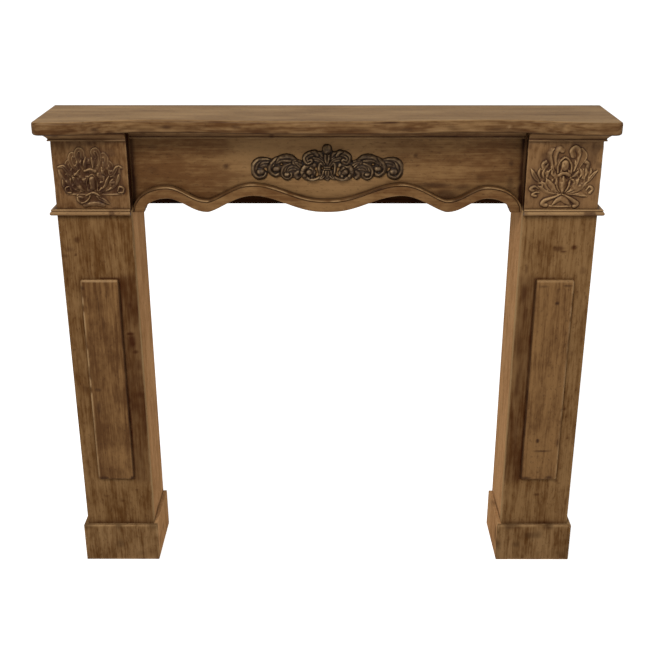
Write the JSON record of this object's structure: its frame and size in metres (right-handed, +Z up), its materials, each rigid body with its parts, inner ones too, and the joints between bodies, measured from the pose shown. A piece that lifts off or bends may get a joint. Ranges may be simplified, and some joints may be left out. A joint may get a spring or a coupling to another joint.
{
  "type": "fireplace mantel",
  "caption": "Freestanding carved timber fireplace surround with boxed legs, a scalloped apron, carved corner blocks, a cast scroll ornament and a serpentine shelf.",
  "frame": {"origin": "centre of the bounding box's underside, on the floor, half the shelf's depth in front of the wall plane", "axes": "+X along the shelf to the viewer's right, +Y towards the wall, +Z up"},
  "size_m": [1.208, 0.205, 1.074],
  "materials": {
    "shelf_timber": "satin wax over open pine grain, top rubbed paler",
    "frieze_timber": "satin wax over flat-sawn pine, darker in the corners",
    "leg_timber": "satin wax over straight pine grain with knots",
    "inner_timber": "paler waxed pine",
    "plinth_timber": "satin wax with worn top edges",
    "moulding_timber": "reddish brown waxed softwood with dark quirks",
    "carved_timber": "hand-rubbed carving, dark wax in the hollows",
    "rail_timber": "dark stained softwood",
    "cast_ornament": "cast resin with an aged bronze wax finish"
  },
  "bodies": {
    "root": {"mantel_shelf": "shelf_timber", "frieze_bed_moulding": "moulding_timber", "left_bed_moulding_front": "moulding_timber", "left_bed_moulding_return": "moulding_timber", "right_bed_moulding_front": "moulding_timber", "right_bed_moulding_return": "moulding_timber", "left_carved_block": "carved_timber", "right_carved_block": "carved_timber", "left_neck_moulding_front": "moulding_timber", "left_neck_moulding_return": "moulding_timber", "right_neck_moulding_front": "moulding_timber", "right_neck_moulding_return": "moulding_timber", "left_leg_front": "leg_timber", "left_leg_inner_cheek": "inner_timber", "left_leg_outer_cheek": "leg_timber", "right_leg_front": "leg_timber", "right_leg_inner_cheek": "inner_timber", "right_leg_outer_cheek": "leg_timber", "left_raised_panel": "carved_timber", "right_raised_panel": "carved_timber", "left_plinth_front": "plinth_timber", "left_plinth_inner": "inner_timber", "left_plinth_outer": "plinth_timber", "right_plinth_front": "plinth_timber", "right_plinth_inner": "inner_timber", "right_plinth_outer": "plinth_timber", "frieze_board": "frieze_timber", "apron_band": "frieze_timber", "frieze_rail": "rail_timber", "centre_ornament": "cast_ornament"}
  },
  "joints": []
}
